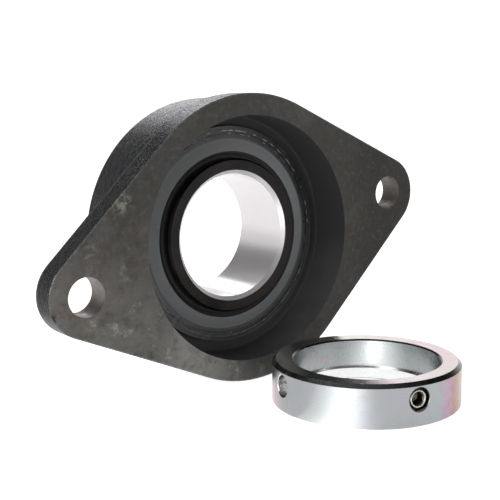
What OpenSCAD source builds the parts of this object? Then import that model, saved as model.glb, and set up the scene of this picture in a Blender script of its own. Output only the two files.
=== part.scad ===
// Two-bolt flange mount bearing with a self-aligning ball insert and a loose
// eccentric locking collar. Millimetres. Origin: bore axis at the mounting face.
// +Z is up, +Y runs along the bore from the mounting face into the boss.

/* [Flange] */
// Distance between the two bolt holes
bolt_spacing = 150; // [140:1:180]
// Bolt hole diameter
bolt_hole_d = 14.4; // [12:0.1:17]
// Flange thickness
flange_t = 10; // [8:0.5:14]
// Radius of the rounded flange ends
lobe_r = 15.3; // [14:0.1:18]
// How far the end radius is centred inside the bolt hole
lobe_inset = 0.8; // [0:0.1:2]
// Turn of the flange about the bore, as it stands on its rim
flange_roll = 10.2; // [0:0.1:20]

/* [Boss] */
// Depth of the housing from the mounting face to the boss end
housing_depth = 35.7; // [34:0.1:43]
// Wall between the bearing seat and the outside at the boss end
boss_wall = 10; // [8:0.5:14]
// Draft of the boss, on the radius
boss_draft = 1; // [0.2:0.1:2]
// Step from the boss root out to the flange rim
rim_step = 0.8; // [0.4:0.1:2]
// Fillet where the boss meets the back of the flange
root_fillet = 3; // [1:0.5:5]
// Rounded edge at the boss end
end_round = 1.2; // [0.5:0.1:2]
// Depth of the recess in the mounting face
recess_depth = 18.3; // [17:0.1:22]
// Gap between the outer ring and the recess wall
recess_gap = 3.4; // [2.5:0.1:5]
// Corner fillet at the recess floor
recess_fillet = 1; // [0.5:0.5:2.5]

/* [Bearing insert] */
// Shaft bore diameter
bore_d = 50; // [42:0.5:60]
// Outer ring diameter, across its spherical outside
ring_d = 90; // [85:0.5:108]
// Distance from the mounting face to the plane of the balls
ball_plane = 26.4; // [26:0.1:28]
// Ball diameter, as a share of the height from the bore to the outside
ball_share = 0.635; // [0.6:0.005:0.76]
// Inner ring height at its shoulders, as a share of the same height
inner_share = 0.31; // [0.29:0.005:0.35]
// Outer ring height at its seal seats, as a share of the same height
outer_share = 0.29; // [0.27:0.005:0.31]
// Outer ring width beyond the balls, each side
ring_side = 3.15; // [3:0.05:4]
// Inner ring reach beyond the outer ring, mounting side
back_reach = 3.85; // [3:0.05:6]
// Inner ring reach beyond the outer ring, collar side
front_reach = 7.35; // [7:0.05:12]
// Chamfer at both ends of the shaft bore
bore_chamfer = 1.5; // [0.5:0.1:1.7]

/* [Locking collar] */
// Thickness of the eccentric cam over the bore
cam_wall = 2.15; // [1.8:0.05:2.6]
// Offset of the cam and of the collar recess
cam_offset = 0.45; // [0.2:0.05:0.8]
// Cam length
cam_length = 6.2; // [4:0.1:6.4]
// Collar height
collar_h = 15.8; // [14:0.1:20]
// Collar wall around its recess
collar_wall = 7.8; // [7:0.1:10]
// Height of the ledge under the collar recess
ledge_h = 4.5; // [3:0.1:5]
// Chamfer around the recessed face of the collar
collar_chamfer = 1.4; // [0.5:0.1:2]
// Distance of the screw and drift holes below the recessed face
hole_drop = 6.2; // [6:0.1:8]
// Drift hole diameter
drift_d = 7.7; // [6:0.1:8]
// Drift hole depth
drift_depth = 5.5; // [3:0.1:5.5]
// Set screw diameter
screw_d = 8; // [6:0.5:8]
// Set screw length
screw_length = 6.5; // [6:0.1:6.8]
// Hexagon socket, across flats
socket_af = 4; // [3:0.5:4]
// Gap between the mounting face and the collar standing in front of it
collar_gap = 10.8; // [2:0.1:60]
// Place of the collar, sideways from the bore
collar_x = 16.7; // [-20:0.1:40]
// Turn of the collar, the way its set screw faces
collar_turn = -102.8; // [-180:0.1:180]

/* [Hidden] */
$fn = 96;
// Overlap that joins or cuts cleanly, and how far cutting shapes run past a face
eps = 0.01;
over = 1;
ball_count = 10;

// Running clearances, each on the radius
seat_gap = 0.03;
ball_gap = 0.04;
pocket_gap = 0.15;
lip_gap = 0.05;
cam_gap = 0.05;
shaft_gap = 0.2;
screw_gap = 0.05;
slot_gap = 0.3;
slot_relief = 0.15;

// Raceway groove radius as a share of the ball
conformity = 1.04;
// Broken edges: ring corners, cam, collar foot, collar bore and recess mouths
ring_edge = 0.8;
cam_edge = 0.4;
foot_edge = 0.3;
foot_bore_edge = 0.5;
mouth_edge = 0.6;
// Thin witness groove in each face of the outer ring
witness_step = 1.6;
witness_w = 0.6;
witness_depth = 0.4;

// Cage: clearance to both rings, to the seals, and its grip past the ball plane
cage_gap = 1.2;
cage_end_gap = 0.35;
cage_grip = 0.44;

// Seals: sheet thicknesses, the crown of the outer plate and its flat rim
plate_t = 0.8;
lip_t = 0.5;
back_t = 0.5;
seal_sink = 0.05;
plate_crown = 1.05;
plate_flat = 1;
plate_reach = 2.7;
// Rubber lip: bead inside the plate, nose, sealing edge and its root
lip_bead = 0.5;
lip_nose = 1.1;
lip_root = 1.3;
lip_edge_low = 0.2;
lip_edge_high = 0.7;

// Holes in the collar: countersink at their mouths, drill point
hole_edge = 0.45;
mouth_h = 1.2;
drill_point = 0.2;
// Set screw: how far it sits in, its point, its ends and its socket
screw_sink = 0.9;
screw_cup = 0.8;
screw_lead = 1;
screw_edge = 1;
socket_depth = 3.6;
socket_edge = 0.7;

bore_r = bore_d / 2;
seat_r = ring_d / 2;
ring_h = seat_r - bore_r;
ring_r = seat_r - seat_gap;
ball_d = ring_h * ball_share;
ball_r = ball_d / 2;
ring_w = ball_d + 2 * ring_side;
pitch_r = (bore_r + seat_r) / 2;
groove_r = ball_r * conformity;
inner_r = bore_r + ring_h * inner_share;
seal_r = seat_r - ring_h * outer_share;
land_r = seal_r - ring_edge;
inner_back = ring_w / 2 + back_reach;
inner_front = ring_w / 2 + front_reach;

boss_end_r = seat_r + boss_wall;
boss_root_r = boss_end_r + boss_draft;
flange_r = boss_root_r + rim_step;
lobe_x = bolt_spacing / 2 - lobe_inset;
recess_r = seat_r + recess_gap;
slot_w = ring_w + 2 * slot_gap;

// Seal stack, measured outwards from the ball plane
seal_in = ring_w / 2 - plate_t - lip_t - back_t - seal_sink;
back_out = seal_in + back_t;
lip_out = back_out + lip_t;
plate_out = lip_out + plate_t;
plate_in_r = inner_r + plate_reach;

cage_in_r = inner_r + cage_gap;
cage_out_r = seal_r - cage_gap;
cage_back = seal_in - cage_end_gap;
cage_front = ball_r * cage_grip;

cam_r = bore_r + cam_wall;
cam_start = inner_front - cam_length;
hollow_r = cam_r + cam_gap;
collar_r = hollow_r + collar_wall;
collar_bore_r = bore_r + shaft_gap;
collar_y = -collar_r - collar_gap;
hole_h = collar_h - hole_drop;
screw_r = screw_d / 2;
screw_out = collar_r - screw_sink;
screw_in = screw_out - screw_length;
floor_z = -flange_r;

// ---- placing ----

// Turns the local Z axis along the bore, with its zero on the mounting face
module along_bore() {
    rotate([-90, 0, 0]) children();
}

// Local Z along the bore, zero on the ball plane
module front_side() {
    translate([0, ball_plane, 0]) along_bore() children();
}

// The same, with local Z pointing back to the mounting face
module rear_side() {
    front_side() mirror([0, 0, 1]) children();
}

module at_collar() {
    translate([collar_x, collar_y, floor_z]) rotate([0, 0, collar_turn]) children();
}

// Local Z out along the set screw, from the collar's axis
module along_screw() {
    translate([0, 0, hole_h]) rotate([0, 90, 0]) children();
}

// ---- shared shapes ----

// Outline of the rhombic flange: a round middle, two round ends and their tangents
module flange_outline() {
    lean = (flange_r - lobe_r) / lobe_x;
    rise = sqrt(1 - lean * lean);
    circle(r = flange_r);
    for (side = [-1, 1])
        translate([side * lobe_x, 0]) circle(r = lobe_r);
    polygon([
        [flange_r * lean, flange_r * rise],
        [lobe_x + lobe_r * lean, lobe_r * rise],
        [lobe_x + lobe_r * lean, -lobe_r * rise],
        [flange_r * lean, -flange_r * rise],
        [-flange_r * lean, -flange_r * rise],
        [-lobe_x - lobe_r * lean, -lobe_r * rise],
        [-lobe_x - lobe_r * lean, lobe_r * rise],
        [-flange_r * lean, flange_r * rise]
    ]);
}

// Ring of rectangular section with both inner and outer edges chamfered
module ring(inner, outer, low, high, cut) {
    rotate_extrude() polygon([
        [inner + cut, low], [outer - cut, low],
        [outer, low + cut], [outer, high - cut],
        [outer - cut, high], [inner + cut, high],
        [inner, high - cut], [inner, low + cut]
    ]);
}

module torus(radius, section) {
    rotate_extrude() translate([radius, 0]) circle(r = section);
}

// ---- housing ----

// Drafted boss with a rounded far edge
module boss() {
    side_h = housing_depth - end_round - flange_t;
    cylinder(r = boss_root_r, h = flange_t);
    translate([0, 0, flange_t]) cylinder(r1 = boss_root_r, r2 = boss_end_r, h = side_h);
    cylinder(r = boss_end_r - end_round, h = housing_depth);
    translate([0, 0, housing_depth - end_round]) torus(boss_end_r - end_round, end_round);
}

// Cast fillet around the boss root, kept within the flange
module boss_fillet() {
    fillet_r = boss_root_r + root_fillet;
    intersection() {
        translate([0, 0, flange_t - eps]) linear_extrude(root_fillet + eps) flange_outline();
        difference() {
            translate([0, 0, flange_t - eps]) cylinder(r = fillet_r, h = root_fillet + eps);
            translate([0, 0, flange_t + root_fillet]) torus(fillet_r, root_fillet);
        }
    }
}

module recess() {
    wall_h = recess_depth - recess_fillet;
    translate([0, 0, -over]) cylinder(r = recess_r, h = wall_h + over);
    translate([0, 0, -over]) cylinder(r = recess_r - recess_fillet, h = recess_depth + over);
    translate([0, 0, wall_h]) torus(recess_r - recess_fillet, recess_fillet);
}

// Slots through which the outer ring is turned into its seat, from the boss end
module loading_slots() {
    intersection() {
        translate([0, 0, ball_plane]) cylinder(r = seat_r + slot_relief, h = housing_depth);
        translate([-ring_d, -slot_w / 2, ball_plane]) cube([2 * ring_d, slot_w, housing_depth]);
    }
}

module bolt_holes() {
    for (side = [-1, 1])
        translate([side * bolt_spacing / 2, 0, -over])
            cylinder(d = bolt_hole_d, h = flange_t + root_fillet + 2 * over);
}

module housing() {
    color([0.13, 0.13, 0.13]) along_bore() rotate([0, 0, -flange_roll]) difference() {
        union() {
            linear_extrude(flange_t) flange_outline();
            boss();
            boss_fillet();
        }
        recess();
        translate([0, 0, ball_plane]) sphere(r = seat_r);
        loading_slots();
        bolt_holes();
    }
}

// ---- bearing insert ----

// Seal seat and witness groove cut into one face of the outer ring
module outer_ring_face() {
    witness_r = seal_r + witness_step;
    translate([0, 0, seal_in]) cylinder(r = seal_r, h = ring_w);
    ring(witness_r, witness_r + witness_w, ring_w / 2 - witness_depth, ring_w, eps);
}

module outer_ring() {
    color([0.45, 0.46, 0.47]) difference() {
        front_side() intersection() {
            sphere(r = ring_r);
            ring(land_r - ring_edge, ring_r, -ring_w / 2, ring_w / 2, ring_edge);
        }
        front_side() cylinder(r = land_r, h = ring_w + over, center = true);
        front_side() torus(pitch_r + ball_r + ball_gap - groove_r, groove_r);
        front_side() outer_ring_face();
        rear_side() outer_ring_face();
    }
}

module bore_mouth(reach) {
    translate([0, 0, reach - bore_chamfer])
        cylinder(r1 = bore_r, r2 = bore_r + bore_chamfer + eps, h = bore_chamfer + eps);
}

// Eccentric cam at the collar side, lowest towards the set screw side
module cam() {
    translate([-cam_offset, 0, 0])
        ring(bore_r - ring_edge, cam_r, cam_start - over, inner_front, cam_edge);
}

module inner_ring() {
    color([0.62, 0.62, 0.64]) difference() {
        front_side() union() {
            ring(bore_r - ring_edge, inner_r, -inner_back, cam_start, ring_edge);
            cam();
        }
        front_side() cylinder(r = bore_r, h = 3 * inner_front, center = true);
        front_side() torus(pitch_r - ball_r - ball_gap + groove_r, groove_r);
        front_side() bore_mouth(inner_front);
        rear_side() bore_mouth(inner_back);
    }
}

// One-piece snap cage: a ring with a round pocket for each ball, open on one side
module ball_cage() {
    color([0.85, 0.8, 0.62]) rear_side() difference() {
        translate([0, 0, -cage_front]) cylinder(r = cage_out_r, h = cage_back + cage_front);
        cylinder(r = cage_in_r, h = 3 * cage_back, center = true);
        for (i = [0 : ball_count - 1])
            rotate([0, 0, i * 360 / ball_count])
                translate([pitch_r, 0, 0]) sphere(r = ball_r + pocket_gap);
    }
}

module ball(i) {
    color([0.8, 0.81, 0.83]) front_side()
        rotate([0, 0, i * 360 / ball_count])
            translate([pitch_r, 0, 0]) sphere(r = ball_r);
}

module ball_01() ball(0);
module ball_02() ball(1);
module ball_03() ball(2);
module ball_04() ball(3);
module ball_05() ball(4);
module ball_06() ball(5);
module ball_07() ball(6);
module ball_08() ball(7);
module ball_09() ball(8);
module ball_10() ball(9);

// ---- seals ----

// Outer steel plate: a flat rim pressed into the ring and a crowned inner part
module seal_plate() {
    rim_r = seal_r - plate_flat;
    color([0.5, 0.52, 0.54]) rotate_extrude() polygon([
        [plate_in_r, lip_out + plate_crown], [rim_r, lip_out], [seal_r, lip_out],
        [seal_r, plate_out], [rim_r, plate_out], [plate_in_r, plate_out + plate_crown]
    ]);
}

// Rubber lip clamped between the two steel plates
module seal_lip() {
    crown_out = lip_out + plate_crown;
    edge_r = inner_r + lip_gap;
    color([0.06, 0.06, 0.06]) rotate_extrude() polygon([
        [land_r, back_out], [land_r, lip_out], [seal_r - plate_flat, lip_out],
        [plate_in_r, crown_out], [plate_in_r - lip_bead, crown_out],
        [inner_r + lip_nose, crown_out - lip_bead], [edge_r, lip_out + lip_edge_high],
        [edge_r, lip_out + lip_edge_low], [inner_r + lip_root, back_out],
        [plate_in_r, back_out]
    ]);
}

// Flat steel ring behind the lip
module seal_backing() {
    color([0.55, 0.56, 0.58]) rotate_extrude() polygon([
        [plate_in_r, seal_in], [seal_r, seal_in], [seal_r, back_out], [plate_in_r, back_out]
    ]);
}

module rear_seal_plate() rear_side() seal_plate();
module rear_seal_lip() rear_side() seal_lip();
module rear_seal_backing() rear_side() seal_backing();
module front_seal_plate() front_side() seal_plate();
module front_seal_lip() front_side() seal_lip();
module front_seal_backing() front_side() seal_backing();

// ---- locking collar ----

// Countersunk mouth of a hole in the collar's side, with local Z along the hole
module hole_mouth(r) {
    translate([0, 0, collar_r - hole_edge]) cylinder(r1 = r, r2 = r + mouth_h, h = mouth_h);
}

// Blind drift hole with a drill point, a quarter turn from the set screw
module drift_hole() {
    drift_r = drift_d / 2;
    point_h = drift_d * drill_point;
    rotate([0, 0, -90]) along_screw() {
        translate([0, 0, collar_r - drift_depth]) cylinder(r = drift_r, h = drift_depth + over);
        translate([0, 0, collar_r - drift_depth - point_h])
            cylinder(r1 = 0, r2 = drift_r, h = point_h + eps);
        hole_mouth(drift_r);
    }
}

module screw_hole() {
    along_screw() {
        cylinder(r = screw_r + screw_gap, h = collar_r + over);
        hole_mouth(screw_r + screw_gap);
    }
}

// Eccentric recess that drops over the cam, with a broken edge at its mouth
module collar_hollow() {
    translate([cam_offset, 0, ledge_h]) cylinder(r = hollow_r, h = collar_h);
    translate([cam_offset, 0, collar_h - mouth_edge])
        cylinder(r1 = hollow_r, r2 = hollow_r + mouth_edge + eps, h = mouth_edge + eps);
}

module locking_collar() {
    color([0.78, 0.79, 0.81]) at_collar() difference() {
        rotate_extrude() polygon([
            [0, 0], [collar_r - foot_edge, 0], [collar_r, foot_edge],
            [collar_r, collar_h - collar_chamfer], [collar_r - collar_chamfer, collar_h],
            [0, collar_h]
        ]);
        translate([0, 0, -over]) cylinder(r = collar_bore_r, h = collar_h + 2 * over);
        translate([0, 0, -eps])
            cylinder(r1 = collar_bore_r + foot_bore_edge, r2 = collar_bore_r, h = foot_bore_edge);
        collar_hollow();
        screw_hole();
        drift_hole();
    }
}

// Cup point grub screw with a hexagon socket
module set_screw() {
    socket_end = screw_out - socket_depth;
    point_h = socket_af / 6;
    color([0.32, 0.3, 0.28]) at_collar() along_screw() difference() {
        rotate_extrude() polygon([
            [0, screw_in + screw_cup], [screw_r / 2, screw_in],
            [screw_r - screw_lead, screw_in], [screw_r, screw_in + screw_lead],
            [screw_r, screw_out - screw_edge], [screw_r - screw_edge, screw_out],
            [0, screw_out]
        ]);
        translate([0, 0, socket_end])
            cylinder(d = socket_af / cos(30), h = socket_depth + over, $fn = 6);
        translate([0, 0, socket_end - point_h])
            cylinder(r1 = 0, r2 = socket_af / 2 - eps, h = point_h + eps);
        translate([0, 0, screw_out - socket_edge])
            cylinder(r1 = socket_af / 2, r2 = socket_af / 2 + socket_edge, h = socket_edge + eps);
    }
}

housing();
outer_ring();
inner_ring();
ball_cage();
ball_01();
ball_02();
ball_03();
ball_04();
ball_05();
ball_06();
ball_07();
ball_08();
ball_09();
ball_10();
rear_seal_plate();
rear_seal_lip();
rear_seal_backing();
front_seal_plate();
front_seal_lip();
front_seal_backing();
locking_collar();
set_screw();
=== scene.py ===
import math

import bpy
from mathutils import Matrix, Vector


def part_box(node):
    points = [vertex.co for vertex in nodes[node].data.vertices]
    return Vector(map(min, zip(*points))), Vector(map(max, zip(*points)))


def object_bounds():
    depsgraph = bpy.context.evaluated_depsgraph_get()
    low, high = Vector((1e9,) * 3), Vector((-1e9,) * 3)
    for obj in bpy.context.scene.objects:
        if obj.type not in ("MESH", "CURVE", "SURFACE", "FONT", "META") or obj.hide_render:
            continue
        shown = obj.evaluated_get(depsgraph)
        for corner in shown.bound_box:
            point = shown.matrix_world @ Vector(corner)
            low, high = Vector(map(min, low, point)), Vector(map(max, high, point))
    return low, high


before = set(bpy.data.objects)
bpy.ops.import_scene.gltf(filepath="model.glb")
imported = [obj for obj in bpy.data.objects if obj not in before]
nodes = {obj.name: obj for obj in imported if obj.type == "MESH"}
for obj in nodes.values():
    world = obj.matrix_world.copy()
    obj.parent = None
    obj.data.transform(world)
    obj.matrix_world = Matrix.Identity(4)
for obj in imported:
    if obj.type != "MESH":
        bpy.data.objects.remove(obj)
cad_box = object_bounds()

MM = 0.001


# ---- places read from the parts in model.glb ----

def centre_of(node):
    """The middle of a node's box at rest."""
    low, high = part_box(node)
    return (low + high) / 2


def half_width(node):
    """Half of a node's box along X, in mm."""
    low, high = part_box(node)
    return (high.x - low.x) / 2 / MM


FLOOR = cad_box[0].z
COLLAR = centre_of("locking_collar")
COLLAR_R = half_width("locking_collar")
SCREW = centre_of("set_screw")


# ---- sizes that the finishes follow, in millimetres ----

# Flange: a round middle and two lobes, rolled about the bore. It rests on its middle.
FLANGE_ROLL = math.radians(10.2)
FLANGE_MIDDLE_R = -FLOOR / MM
LOBE_X = 74.2
LOBE_R = 15.3
BOLT_X = 75.0
BOLT_HOLE_R = 7.2
RECESS_R = 48.4
REAR_EDGE_Y = 9.5

# Marks on the casting, as points
PALE_PATCH_CENTRE = (-27.0, 0.0, -44.5)
SMUDGE = (-59.1, 0.0, 18.7)
NICK = (-87.4, 0.0, -19.6)
CASTING_PIP = (-47.6, 20.3, 32.3)

# Insert: radii of rings about the bore, with the width of each
BORE_CHAMFER_R = 26.6
SEAL_RIM = (38.9, 0.8)
RING_GROOVES = ((40.4, 0.35), (41.3, 0.22), (42.6, 0.25))
RING_GLINTS = ((40.9, 0.30), (42.1, 0.25))

# Collar: heights above the floor, a radius about its own axis and one about the screw's
LEDGE_TOP = 4.6
HOLES_FROM = 4.0
CHAMFER_FROM = 14.3
RECESS_WALL_R = 28.5
SCREW_HOLE_R = 4.2


# ---- colours, in linear light ----

# Milled iron
OILED_IRON = (0.048, 0.047, 0.044)
LIGHTER_IRON = (0.21, 0.204, 0.192)
SHADED_IRON = (0.028, 0.027, 0.026)
OIL_STAIN = (0.058, 0.044, 0.033)
PALE_FLECK = (0.20, 0.19, 0.17)
DARK_FLECK = (0.020, 0.018, 0.016)
CHALK = (0.45, 0.43, 0.39)
RUST = (0.10, 0.060, 0.045)
WORN_AND_GLINTING_EDGE = (0.65, 0.64, 0.63)
DRILLED_DARK = (0.12, 0.105, 0.10)
DRILLED_BRIGHT = (0.24, 0.22, 0.21)
NICK_DIRT = (0.012, 0.011, 0.010)

# Black paint
PAINT_HOLLOW = (0.002, 0.0025, 0.0035)
PAINT_GRAIN = (0.008, 0.009, 0.012)
PAINTED_TOP_HIGHLIGHT = (0.48, 0.455, 0.53)
PAINTED_FLOOR_REFLECTION = (0.40, 0.40, 0.40)
REAR_EDGE_HIGHLIGHT = (0.10, 0.10, 0.11)
RECESS_UPPER = (0.036, 0.036, 0.038)
RECESS_LOWER_LIT = (0.095, 0.095, 0.098)
RECESS_CLOUD = (0.02, 0.02, 0.022)

# Insert
RING_UPPER = (0.026, 0.027, 0.026)
RING_LOWER_REFLECTION = (0.185, 0.188, 0.185)
RING_LINE = (0.018, 0.019, 0.018)
RING_SMEAR = (0.022, 0.022, 0.020)
RING_SCRATCH = (0.45, 0.46, 0.45)
RING_GROOVE = (0.010, 0.010, 0.010)
RING_GLINT = (0.50, 0.51, 0.50)
GROUND_DARK = (0.68, 0.655, 0.665)
GROUND_BRIGHT = (0.82, 0.79, 0.80)
OILED_END_DARK = (0.004, 0.0035, 0.0035)
OILED_END = (0.016, 0.013, 0.011)
CAM_STEEL = (0.20, 0.20, 0.20)
SHEET_SHADED = (0.076, 0.081, 0.081)
SHEET_LIT = (0.25, 0.262, 0.272)
SHEET_ROLLED = (0.12, 0.127, 0.130)
SHEET_MARK = (0.30, 0.31, 0.32)
SHEET_RIM = (0.03, 0.032, 0.033)
RUBBER = (0.008, 0.008, 0.008)
RUBBER_BLOOM = (0.020, 0.020, 0.021)
POLYAMIDE_DEEP = (0.62, 0.55, 0.38)
POLYAMIDE_PALE = (0.74, 0.68, 0.52)
BALL_STEEL = (0.66, 0.67, 0.69)
BALL_GREASE = (0.55, 0.53, 0.46)

# Zinc plate, and the tints of its passivation from one end of the bloom to the other
ZINC_GREY = (0.335, 0.355, 0.352)
ZINC_BLUE = (0.355, 0.358, 0.385)
PASSIVATION = (
    (0.0, (0.36, 0.38, 0.37)), (0.25, (0.33, 0.37, 0.38)), (0.42, (0.40, 0.28, 0.37)),
    (0.60, (0.36, 0.21, 0.21)), (0.78, (0.36, 0.28, 0.17)), (1.0, (0.27, 0.31, 0.26)),
)
LEFT_ROSE = (0.52, 0.34, 0.37)
TOP_STRAW = (0.82, 0.79, 0.75)
TOP_ROSE = (0.76, 0.61, 0.635)
TOP_REFLECTION = (0.98, 0.87, 0.90)
WALL_GREY = (0.34, 0.38, 0.375)
WALL_ROSE = (0.41, 0.355, 0.40)
WALL_HIGHLIGHT = (0.84, 0.86, 0.86)
LEDGE_REFLECTION = (0.86, 0.87, 0.87)
CHAMFER_REFLECTION_DARK = (0.09, 0.085, 0.08)
CHAMFER_REFLECTION_BLUE = (0.22, 0.227, 0.24)
HOLE_STEEL = (0.70, 0.70, 0.69)
SCREW_HOLE_SHADE = (0.03, 0.028, 0.025)
TURNED_LINE = (0.24, 0.25, 0.25)
SCREW_STRAW = (0.50, 0.47, 0.41)
SCREW_STEEL = (0.68, 0.65, 0.57)
SOCKET_SHADE = (0.11, 0.10, 0.085)

FLOOR_PALE = (0.92, 0.92, 0.92)
FLOOR_POOL_GLOW = (3.4, 3.4, 3.4)


# ---- shader values that Python's own operators work on ----

class Value:
    """A number or a vector in a node tree."""

    def __init__(self, shading, socket):
        self.shading = shading
        self.socket = socket

    def math(self, operation, *others):
        values = dict(enumerate((self,) + others))
        return self.shading.node("ShaderNodeMath", {"operation": operation}, values)

    def vector(self, operation, *others, output=0):
        values = dict(enumerate((self,) + others))
        settings = {"operation": operation}
        return self.shading.node("ShaderNodeVectorMath", settings, values, output)

    def __add__(self, other):
        return self.math("ADD", other)

    def __radd__(self, other):
        return self.math("ADD", other)

    def __sub__(self, other):
        return self.math("SUBTRACT", other)

    def __rsub__(self, other):
        values = {0: other, 1: self}
        return self.shading.node("ShaderNodeMath", {"operation": "SUBTRACT"}, values)

    def __mul__(self, other):
        return self.math("MULTIPLY", other)

    def __rmul__(self, other):
        return self.math("MULTIPLY", other)

    def __gt__(self, other):
        return self.math("GREATER_THAN", other)

    def __lt__(self, other):
        return self.math("LESS_THAN", other)

    def __abs__(self):
        return self.math("ABSOLUTE")

    def min(self, other):
        return self.math("MINIMUM", other)

    def max(self, other):
        return self.math("MAXIMUM", other)

    def ramp(self, low, high, out_low=0.0, out_high=1.0):
        """A smooth step from out_low at low to out_high at high."""
        return self.shading.node(
            "ShaderNodeMapRange",
            {"interpolation_type": "SMOOTHSTEP"},
            {"Value": self, "From Min": low, "From Max": high,
             "To Min": out_low, "To Max": out_high},
        )

    def near(self, place, width):
        """1 at a place, falling to 0 a width away on both sides."""
        return abs(self - place).ramp(0, width, 1, 0)

    def towards(self, degrees, spread):
        """Of an angle: 1 at a bearing, falling to 0 a spread away, both in degrees."""
        return self.near(math.radians(degrees), math.radians(spread))

    def distance_to(self, point):
        return self.vector("DISTANCE", point, output="Value")

    def parts(self):
        split = self.shading.node("ShaderNodeSeparateXYZ", {}, {"Vector": self}, None)
        return [Value(self.shading, s) for s in split.outputs]


class Shading:
    """A node tree, and the ways to put nodes in it."""

    def __init__(self, tree):
        self.tree = tree

    def find(self, sockets, key):
        if isinstance(key, int):
            return sockets[key]
        by_identifier = {s.identifier: s for s in sockets}
        return by_identifier.get(key) or sockets[key]

    def join(self, socket, value):
        if isinstance(value, Value):
            self.tree.links.new(value.socket, socket)
        elif socket.type == "RGBA" and len(value) == 3:
            socket.default_value = (*value, 1)
        else:
            socket.default_value = value

    def node(self, kind, settings, values, output=0):
        made = self.tree.nodes.new(kind)
        for key, value in settings.items():
            if key == "stops":
                self.set_stops(made.color_ramp, value)
            else:
                setattr(made, key, value)
        for key, value in values.items():
            self.join(self.find(made.inputs, key), value)
        if output is None:
            return made
        return Value(self, self.find(made.outputs, output))

    def set_stops(self, band, stops):
        while len(band.elements) < len(stops):
            band.elements.new(1)
        for element, (place, colour) in zip(band.elements, stops):
            element.position = place
            element.color = (*colour, 1)


class Finish(Shading):
    """A material: the nodes that make it, and its Principled shader."""

    def __init__(self, name, **constants):
        self.material = bpy.data.materials.new(name)
        self.material.use_nodes = True
        super().__init__(self.material.node_tree)
        self.shader = self.tree.nodes["Principled BSDF"]
        for socket, value in constants.items():
            self.shader.inputs[socket.replace("_", " ")].default_value = value

    def place(self):
        """The point on the piece at rest, in millimetres."""
        point = self.node("ShaderNodeTexCoord", {}, {}, "Object")
        return point.vector("MULTIPLY", (1000, 1000, 1000))

    def facing(self):
        """The surface's own direction, as three numbers."""
        return self.node("ShaderNodeTexCoord", {}, {}, "Normal").parts()

    def point(self, x, y, z):
        return self.node("ShaderNodeCombineXYZ", {}, {"X": x, "Y": y, "Z": z})

    def noise(self, at, scale, detail=2.0, rough=0.5, distort=0.0):
        return self.node(
            "ShaderNodeTexNoise", {"noise_dimensions": "3D"},
            {"Vector": at, "Scale": scale, "Detail": detail,
             "Roughness": rough, "Distortion": distort}, "Fac",
        )

    def cells(self, at, scale):
        """Distance from the nearest of many scattered points."""
        return self.node(
            "ShaderNodeTexVoronoi", {"feature": "F1"}, {"Vector": at, "Scale": scale}, "Distance"
        )

    def blend(self, share, first, second):
        """From the first colour at share 0 to the second at share 1."""
        return self.node(
            "ShaderNodeMix", {"data_type": "RGBA"},
            {"Factor_Float": share, "A_Color": first, "B_Color": second}, "Result_Color",
        )

    def bump(self, height, depth_mm):
        """Relief as deep as depth_mm where height goes from 0 to 1."""
        values = {"Height": height, "Distance": depth_mm * MM, "Strength": 1.0}
        return self.node("ShaderNodeBump", {}, values, "Normal")

    def set(self, **sockets):
        for socket, value in sockets.items():
            self.join(self.shader.inputs[socket.replace("_", " ")], value)

    def give(self, *names):
        for name in names:
            node = nodes[name]
            node.data.materials.clear()
            node.data.materials.append(self.material)


def flat_length(a, b):
    """Length of a flat vector with sides a and b."""
    return (a * a + b * b).math("SQRT")


def about_bore(at):
    """Radius, angle and depth of a point about the shaft bore, in mm and radians."""
    x, y, z = at.parts()
    return flat_length(x, z), z.math("ARCTAN2", x), y


def about_collar(at):
    """Radius, angle and height of a point about the collar's own axis."""
    x, y, z = at.parts()
    x = x - COLLAR.x / MM
    y = y - COLLAR.y / MM
    return flat_length(x, y), y.math("ARCTAN2", x), z - FLOOR / MM


def distance_from_screw(at):
    """Distance of a point from the set screw's axis, in mm."""
    along = (SCREW - COLLAR).normalized()
    out = at.vector("SUBTRACT", tuple(SCREW / MM))
    return out.vector("CROSS_PRODUCT", tuple(along)).vector("LENGTH", output="Value")


def turned(finish, radius, angle, along, fineness, drift=1.5):
    """Lathe marks: fine lines that run round the axis on sides, faces and chamfers."""
    line = radius * 0.73 + along * 1.37
    at = finish.point(angle.math("COSINE") * drift, angle.math("SINE") * drift, line * fineness)
    return finish.noise(at, 1.0, 3.0, 0.6)


# ---- housing ----

def flange_edge(x, z):
    """Distance inside the flange's outline, in mm."""
    turn = -FLANGE_ROLL
    across = abs(x * math.cos(turn) - z * math.sin(turn))
    up = abs(x * math.sin(turn) + z * math.cos(turn))
    lean = (FLANGE_MIDDLE_R - LOBE_R) / LOBE_X
    rise = math.sqrt(1 - lean * lean)
    past = across * rise - up * lean
    to_middle = FLANGE_MIDDLE_R - flat_length(across, up)
    to_side = FLANGE_MIDDLE_R - across * lean - up * rise
    to_end = LOBE_R - flat_length(across - LOBE_X, up)
    straight = past > 0.0
    ended = past > LOBE_X * rise
    return to_middle * (1 - straight) + to_side * (straight - ended) + to_end * ended


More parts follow.
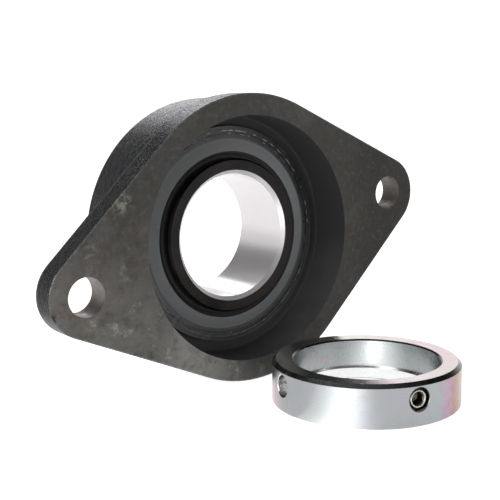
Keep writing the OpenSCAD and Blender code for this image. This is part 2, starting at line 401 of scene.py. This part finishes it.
def milled_iron(f, at, edge, from_left_hole, hole_wall):
    """Colour, roughness and relief of the oiled mounting face and the drilled holes."""
    x, y, z = at.parts()
    blotch = f.noise(at, 0.055, 3.0, 0.6, 0.6)
    stain = f.noise(at, 0.14, 4.0, 0.65, 0.4)
    speck = f.noise(at, 1.1, 3.0, 0.7)
    fine = f.noise(at, 0.42, 5.0, 0.72, 0.3)

    # Lighter towards the lower left and round a patch low on the face, painted shade towards the
    # right lobe, oil stains and flecks
    low = (z + x * 0.25).ramp(5, -48) * x.ramp(25, -15)
    pale_patch = at.distance_to(PALE_PATCH_CENTRE).ramp(25, 3)
    lighter_share = low * 0.36 + pale_patch * 0.68 + (blotch - 0.5) * 0.5
    metal = f.blend(lighter_share.max(0.0).min(1.0), OILED_IRON, LIGHTER_IRON)
    metal = f.blend(x.ramp(45, 65) * 0.7, metal, SHADED_IRON)
    metal = f.blend(stain.ramp(0.46, 0.72) * 0.55, metal, OIL_STAIN)
    metal = f.blend(fine.ramp(0.52, 0.76) * 0.24, metal, PALE_FLECK)
    metal = f.blend(fine.ramp(0.48, 0.28) * 0.45, metal, DARK_FLECK)

    # Dry chalky marks, rust round the left hole
    chalk = f.noise(at, 0.13, 5.0, 0.75).ramp(0.54, 0.72) * low
    smudge = at.distance_to(SMUDGE).ramp(6, 1) * fine.ramp(0.4, 0.6) * 0.6
    metal = f.blend(chalk.max(smudge) * 0.45, metal, CHALK)
    rust = from_left_hole.ramp(16, 9) * f.noise(at, 0.35, 3.0, 0.6).ramp(0.4, 0.65)
    metal = f.blend(rust * 0.35, metal, RUST)

    # Edge lightened, partly wear and partly painted highlight glints, most of all at the left
    # lobe's end
    wear_and_glint_place = x.ramp(-84, -87) * z.near(-4, 9) + z.ramp(-25, -45) * 0.25
    worn_and_glint = edge.ramp(0.0, 0.9, 1, 0) * speck.ramp(0.42, 0.62) * (wear_and_glint_place + 0.12).min(1.0)
    metal = f.blend(worn_and_glint, metal, WORN_AND_GLINTING_EDGE)

    bright = f.blend(f.noise(at, 0.5, 2.0), DRILLED_DARK, DRILLED_BRIGHT)
    metal = f.blend(hole_wall, metal, bright)
    nick = at.distance_to(NICK).ramp(2.2, 1.2) * speck.ramp(0.4, 0.55)
    metal = f.blend(nick, metal, NICK_DIRT)

    rough = stain.ramp(0.3, 0.7, 0.36, 0.55)
    mill = f.noise(f.point(x * 0.12, z * 3.0, y), 1.0, 3.0) * 0.06 + speck * 0.05
    return metal, rough, mill


def cast_paint(f, at, edge, up, in_recess):
    """Colour, roughness and relief of black paint over sand-cast iron."""
    x, y, z = at.parts()
    grain = f.noise(at, 1.25, 3.0, 0.65)
    hollow = f.noise(at, 0.33, 2.0, 0.5)
    pimple = f.cells(at, 1.25).ramp(0.0, 0.55, 1, 0)

    # Painted highlight on the upward grain tips, painted floor reflection under the left lobe,
    # painted highlight along the rear edge
    paint = f.blend(grain.ramp(0.4, 0.75), PAINT_HOLLOW, PAINT_GRAIN)
    top_highlight = up.ramp(0.72, 0.95) * (y > -0.5) * grain.ramp(0.42, 0.55)
    paint = f.blend(top_highlight * 0.75, paint, PAINTED_TOP_HIGHLIGHT)
    floor_reflection = up.ramp(-0.25, -0.8) * x.ramp(-78, -88) * grain.ramp(0.42, 0.6)
    paint = f.blend(floor_reflection * 0.6, paint, PAINTED_FLOOR_REFLECTION)
    rear_edge_highlight = y.near(REAR_EDGE_Y, 0.9) * edge.ramp(2.0, 1.0) * grain.ramp(0.3, 0.6)
    paint = f.blend(rear_edge_highlight * 0.6, paint, REAR_EDGE_HIGHLIGHT)

    # The recess is smoother, and painted light makes it lighter low down
    smooth_paint = f.blend(z.ramp(5, -40), RECESS_UPPER, RECESS_LOWER_LIT)
    smooth_paint = f.blend(f.noise(at, 0.1, 2.0) * 0.5, smooth_paint, RECESS_CLOUD)
    paint = f.blend(in_recess, paint, smooth_paint)

    rough = grain.ramp(0.3, 0.8, 0.27, 0.44) * (1 - in_recess) + in_recess * 0.6
    sand = (grain * 0.75 + hollow * 0.9 + pimple * 0.45) * (1 - in_recess * 0.93)
    return paint, rough, sand


def housing_finish():
    """Black painted sand casting with a machined, oiled mounting face."""
    f = Finish("housing_finish", Specular_IOR_Level=0.095)
    at = f.place()
    x, y, z = at.parts()
    frontward, up = f.facing()[1:]
    radius = about_bore(at)[0]

    hole_x = BOLT_X * math.cos(FLANGE_ROLL)
    hole_z = BOLT_X * math.sin(FLANGE_ROLL)
    from_left_hole = flat_length(x + hole_x, z + hole_z)
    from_right_hole = flat_length(x - hole_x, z - hole_z)
    face = (y < 0.05) * (frontward < -0.9)
    in_recess = (radius < RECESS_R + 0.05) * (y > 0.06)
    from_hole = from_left_hole.min(from_right_hole)
    hole_wall = (from_hole < BOLT_HOLE_R + 0.1) * (abs(frontward) < 0.5)
    machined = face.max(hole_wall)

    edge = flange_edge(x, z)
    metal, metal_rough, mill = milled_iron(f, at, edge, from_left_hole, hole_wall)
    paint, paint_rough, sand = cast_paint(f, at, edge, up, in_recess)
    f.set(Base_Color=f.blend(machined, paint, metal))
    f.set(Roughness=paint_rough * (1 - machined) + metal_rough * machined)
    f.set(Metallic=machined * 0.25 + hole_wall * 0.5)

    pip = at.distance_to(CASTING_PIP).ramp(0.3, 1.5, 1, 0)
    height = sand * (1 - machined) * 0.30 + pip * 0.8 + mill * machined
    f.set(Normal=f.bump(height, 1.0))
    f.give("housing")


# ---- bearing insert ----

def dark_ring_finish():
    """Turned outer ring, dark and oily, with scratches round its faces."""
    f = Finish("dark_ring_finish", Metallic=0.4)
    at = f.place()
    x, _, z = at.parts()
    radius, angle, depth = about_bore(at)
    lines = turned(f, radius, angle, depth, 2.2)
    smear = f.noise(at, 0.12, 3.0, 0.6, 0.5)
    scratch = turned(f, radius, angle, depth, 7.0, 6.0).ramp(0.62, 0.74)
    dashes = f.noise(f.point(angle * 14.0, radius * 0.6, 0.0), 1.0, 2.0)

    # Painted reflection: the face darker at the top, lighter towards the bottom
    film = f.blend(z.ramp(30, -30), RING_UPPER, RING_LOWER_REFLECTION)
    colour = f.blend(lines, RING_LINE, film)
    colour = f.blend(smear.ramp(0.45, 0.75) * 0.5, colour, RING_SMEAR)
    colour = f.blend(scratch * smear.ramp(0.4, 0.6), colour, RING_SCRATCH)
    for groove_r, width in RING_GROOVES:
        colour = f.blend(radius.near(groove_r, width) * 0.7, colour, RING_GROOVE)
    first, second = (radius.near(glint_r, width) for glint_r, width in RING_GLINTS)
    glint = (first + second) * dashes.ramp(0.52, 0.60)
    colour = f.blend(glint * x.ramp(-10, 15, 0.25, 0.7), colour, RING_GLINT)

    f.set(Base_Color=colour)
    f.set(Roughness=smear.ramp(0.3, 0.75, 0.26, 0.48))
    f.set(Normal=f.bump(lines * 0.6 + scratch * 0.4, 0.05))
    f.give("outer_ring")


def inner_ring_finish():
    """Ground bore and cam, with darker oiled end faces."""
    f = Finish("inner_ring_finish")
    at = f.place()
    frontward = f.facing()[1]
    radius, angle, depth = about_bore(at)
    bore = (radius < BORE_CHAMFER_R) * (abs(frontward) < 0.93)
    rear = depth.ramp(20, 14)
    lines = turned(f, radius, angle, depth, 5.0, 1.0)
    cloud = f.noise(at, 0.09, 3.0, 0.6)

    ground = f.blend(lines, GROUND_DARK, GROUND_BRIGHT)
    dark = f.blend(cloud.ramp(0.35, 0.7), OILED_END_DARK, OILED_END)
    outside = f.blend(rear, CAM_STEEL, dark)
    f.set(Base_Color=f.blend(bore, outside, ground))
    f.set(Metallic=0.7 - bore * 0.15)
    outside_rough = (1 - bore) * cloud.ramp(0.3, 0.7, 0.24, 0.42)
    f.set(Roughness=bore * 0.22 + outside_rough + lines * 0.05)
    f.set(Normal=f.bump(lines, 0.012))
    f.give("inner_ring")


def seal_sheet_finish():
    """Satin blue-grey sheet steel, pressed, with faint handling marks, and painted light and
    shade across it.
    """
    f = Finish("seal_sheet_finish", Metallic=0.35)
    at = f.place()
    x, _, z = at.parts()
    radius = about_bore(at)[0]
    roll = f.noise(at, 2.2, 3.0, 0.6)
    # Painted light and shade: lighter towards the lower right
    lit_share = (x - z * 0.5).ramp(-40, 35)
    mark = f.noise(at, 0.22, 4.0, 0.7, 0.8)

    colour = f.blend(lit_share, SHEET_SHADED, SHEET_LIT)
    colour = f.blend(roll.ramp(0.35, 0.65) * 0.25, colour, SHEET_ROLLED)
    colour = f.blend(mark.ramp(0.6, 0.8) * 0.3, colour, SHEET_MARK)
    colour = f.blend(radius.near(*SEAL_RIM) * 0.7, colour, SHEET_RIM)
    f.set(Base_Color=colour)
    f.set(Roughness=mark.ramp(0.3, 0.8, 0.46, 0.62))
    f.set(Normal=f.bump(roll * 0.6 + mark * 0.4, 0.02))
    f.give("rear_seal_plate", "front_seal_plate", "rear_seal_backing", "front_seal_backing")


def rubber_finish():
    """Matt black nitrile lips, slightly bloomed."""
    f = Finish("rubber_finish", Specular_IOR_Level=0.35)
    at = f.place()
    bloom = f.noise(at, 0.35, 3.0, 0.6)
    skin = f.noise(at, 6.0, 2.0, 0.5)
    f.set(Base_Color=f.blend(bloom.ramp(0.4, 0.8), RUBBER, RUBBER_BLOOM))
    f.set(Roughness=bloom.ramp(0.3, 0.7, 0.5, 0.68))
    f.set(Normal=f.bump(skin, 0.015))
    f.give("rear_seal_lip", "front_seal_lip")


def cage_finish():
    """Natural polyamide, cloudy and faintly greased."""
    f = Finish("cage_finish")
    at = f.place()
    cloud = f.noise(at, 0.12, 3.0, 0.6)
    skin = f.noise(at, 3.0, 3.0, 0.6)
    f.set(Base_Color=f.blend(cloud.ramp(0.3, 0.7), POLYAMIDE_DEEP, POLYAMIDE_PALE))
    f.set(Roughness=skin.ramp(0.3, 0.7, 0.32, 0.5))
    f.set(Normal=f.bump(skin, 0.03))
    f.give("ball_cage")


def ball_finish():
    """Lapped chrome steel balls with a thin film of grease."""
    f = Finish("ball_finish", Metallic=1.0)
    at = f.place()
    film = f.noise(at, 0.3, 3.0, 0.6, 0.5)
    lap = f.noise(at, 9.0, 2.0, 0.6)
    f.set(Base_Color=f.blend(film.ramp(0.45, 0.75), BALL_STEEL, BALL_GREASE))
    f.set(Roughness=film.ramp(0.4, 0.75, 0.05, 0.22))
    f.set(Normal=f.bump(lap, 0.002))
    f.give(*sorted(n for n in nodes if n.startswith("ball_") and n != "ball_cage"))


# ---- locking collar ----

def collar_side_colour(f, at, angle, height, bloom):
    """Zinc with passivation tints at the right and a rosy foot at the far left."""
    cloud = f.noise(at, 0.07, 3.0, 0.55, 0.5)
    zinc = f.blend(cloud.ramp(0.3, 0.7), ZINC_GREY, ZINC_BLUE)
    swing = angle.towards(-45, 75)
    film = swing * 0.95 - 0.08 + (bloom - 0.5) * 0.45
    tints = f.node("ShaderNodeValToRGB", {"stops": PASSIVATION}, {"Fac": film}, "Color")
    colour = f.blend(swing.ramp(0.15, 0.45), zinc, tints)
    far_left = angle.towards(153, 17) * height.ramp(12, 6)
    return f.blend(far_left * 0.7, colour, LEFT_ROSE)


def collar_top_colour(f, angle):
    """Straw turning rosy, with a painted reflection palest at the front."""
    colour = f.blend(angle.towards(-25, 95), TOP_STRAW, TOP_ROSE)
    return f.blend(angle.towards(-112, 50), colour, TOP_REFLECTION)


def collar_wall_colour(f, angle, height, bloom):
    """The wall of the recess, with a painted highlight brightest at the back, and a painted
    reflection on the bright ledge below it.
    """
    colour = f.blend(bloom.ramp(0.45, 0.75), WALL_GREY, WALL_ROSE)
    colour = f.blend(angle.towards(38, 32) * 0.95, colour, WALL_HIGHLIGHT)
    return f.blend(height < LEDGE_TOP, colour, LEDGE_REFLECTION)


def plated_finish():
    """Bright zinc plate over turned steel, with faint passivation colours."""
    f = Finish("plated_finish", Metallic=1.0, Anisotropic=0.4, Anisotropic_Rotation=0.25)
    at = f.place()
    up = f.facing()[2]
    radius, angle, height = about_collar(at)
    lines = turned(f, radius, angle, height, 5.5, 1.2)
    feed = turned(f, radius, angle, height, 1.6, 0.8)
    bloom = f.noise(at, 0.28, 4.0, 0.65, 0.4)

    wall = (abs(up) < 0.5) * (radius < COLLAR_R - 1)
    top = up > 0.9
    chamfer = (up > 0.4) * (1 - top) * (height > CHAMFER_FROM)
    in_holes = (height > HOLES_FROM) * (height < CHAMFER_FROM)
    drilled = (radius > RECESS_WALL_R) * (radius < COLLAR_R - 0.02) * in_holes
    # Painted reflection on the chamfer: dark, lighter towards the left front
    chamfer_reflection = f.blend(angle.towards(-160, 70), CHAMFER_REFLECTION_DARK, CHAMFER_REFLECTION_BLUE)

    colour = collar_side_colour(f, at, angle, height, bloom)
    colour = f.blend(top, colour, collar_top_colour(f, angle))
    colour = f.blend(wall, colour, collar_wall_colour(f, angle, height, bloom))
    colour = f.blend(chamfer, colour, chamfer_reflection)
    colour = f.blend(drilled * (1 - top), colour, HOLE_STEEL)
    # Painted shade in the hole round the set screw
    in_screw_hole = distance_from_screw(at) < SCREW_HOLE_R
    colour = f.blend(drilled * in_screw_hole, colour, SCREW_HOLE_SHADE)
    colour = f.blend(lines.ramp(0.5, 0.8) * 0.15, colour, TURNED_LINE)

    f.set(Base_Color=colour)
    f.set(Roughness=bloom.ramp(0.3, 0.75, 0.20, 0.27) + lines * 0.05 - top * 0.09)
    f.set(Normal=f.bump(lines * 0.7 + feed * 0.3, 0.02))
    f.give("locking_collar")


def screw_finish():
    """Oiled set screw, straw coloured in patches, with painted shade in its socket."""
    f = Finish("screw_finish", Metallic=1.0)
    at = f.place()
    cloud = f.noise(at, 0.6, 3.0, 0.6)
    colour = f.blend(cloud.ramp(0.35, 0.7), SCREW_STRAW, SCREW_STEEL)
    # Painted shade in the hex socket
    socket = distance_from_screw(at).ramp(2.75, 2.35)
    f.set(Base_Color=f.blend(socket, colour, SOCKET_SHADE))
    f.set(Roughness=cloud.ramp(0.3, 0.7, 0.2, 0.36))
    f.set(Normal=f.bump(f.noise(at, 5.0, 3.0), 0.02))
    f.give("set_screw")


# ---- camera, floor and lights ----

CAMERA_PLACE = (-0.22436, -0.29164, 0.05463)
CAMERA_TURN = (80.902, 0.623, -37.406)
CAMERA_LENS = 68.156

# Direction from the camera past the bearing, seen from above
BACK = (0.607, 0.795)

# Each panel faces the bearing: its azimuth from +X towards +Y and its elevation in degrees,
# its distance and size in metres, and its power in watts
PANELS = (
    ("left_window", -168, 20, 1.2, (0.65, 0.8), 4.9),
    ("right_strip", -59, 20, 1.2, (0.08, 0.8), 0.7),
    ("right_strip_2", -66, 20, 1.2, (0.06, 0.8), 0.5),
    ("back_panel", 66, 27, 1.2, (0.32, 0.25), 1.5),
    ("rear_fill", 95, 58, 1.4, (0.7, 0.7), 3.5),
)


def put_in_scene(name, data):
    thing = bpy.data.objects.new(name, data)
    bpy.context.scene.collection.objects.link(thing)
    return thing


def make_camera():
    data = bpy.data.cameras.new("camera")
    data.lens = CAMERA_LENS
    data.sensor_width = 36
    data.clip_start = 0.01
    camera = put_in_scene("camera", data)
    camera.location = CAMERA_PLACE
    camera.rotation_euler = [math.radians(a) for a in CAMERA_TURN]
    bpy.context.scene.camera = camera


def make_floor():
    """A pale floor, with a glowing pool of painted light before the collar that its side
    reflects.
    """
    mesh = bpy.data.meshes.new("floor")
    reach = 40.0
    corners = [(-reach, -reach), (reach, -reach), (reach, reach), (-reach, reach)]
    mesh.from_pydata([(x, y, FLOOR - 0.05 * MM) for x, y in corners], [], [(0, 1, 2, 3)])
    f = Finish("floor_finish", Roughness=0.9, Specular_IOR_Level=0.1)
    radius, angle, _ = about_collar(f.place())
    pool = angle.towards(-151, 25) * radius.ramp(180, 120)
    pool_edge = angle.towards(-165, 55) * radius.ramp(200, 120)
    glow = f.blend(pool * 0.75 + pool_edge * 0.25, FLOOR_PALE, FLOOR_POOL_GLOW)
    f.set(Base_Color=(0.8, 0.8, 0.8), Emission_Strength=1.0, Emission_Color=glow)
    mesh.materials.append(f.material)
    put_in_scene("floor", mesh)


def make_panel(name, azimuth, elevation, distance, size, power):
    data = bpy.data.lights.new(name, "AREA")
    data.shape = "RECTANGLE"
    data.size, data.size_y = size
    data.energy = power
    lamp = put_in_scene(name, data)
    a, e = math.radians(azimuth), math.radians(elevation)
    away = Vector((math.cos(a) * math.cos(e), math.sin(a) * math.cos(e), math.sin(e)))
    lamp.location = away * distance
    lamp.rotation_mode = "QUATERNION"
    lamp.rotation_quaternion = (-away).to_track_quat("-Z", "Y")


def make_world():
    """Bright near the horizon and behind the bearing, dim above, grey straight overhead."""
    world = bpy.data.worlds.new("studio")
    bpy.context.scene.world = world
    world.use_nodes = True
    sky = Shading(world.node_tree)
    background = world.node_tree.nodes["Background"]
    x, y, z = sky.node("ShaderNodeTexCoord", {}, {}, "Generated").parts()
    behind = (x * BACK[0] + y * BACK[1]).ramp(0.45, 0.85)
    horizon = z.ramp(0.20, 0.34, 0.9, 0.0)
    backdrop = behind.ramp(0, 1, 0.2, 1.25) * z.ramp(0.20, 0.46, 1, 0.0)
    overhead = z.ramp(0.80, 0.98, 0.04, 0.24)
    sky.join(background.inputs["Strength"], horizon.max(backdrop) + overhead)
    sky.join(background.inputs["Color"], (1, 1, 1))


housing_finish()
dark_ring_finish()
inner_ring_finish()
seal_sheet_finish()
rubber_finish()
cage_finish()
ball_finish()
plated_finish()
screw_finish()

make_camera()
make_floor()
make_world()
for panel in PANELS:
    make_panel(*panel)
bpy.context.scene.view_settings.view_transform = "Standard"
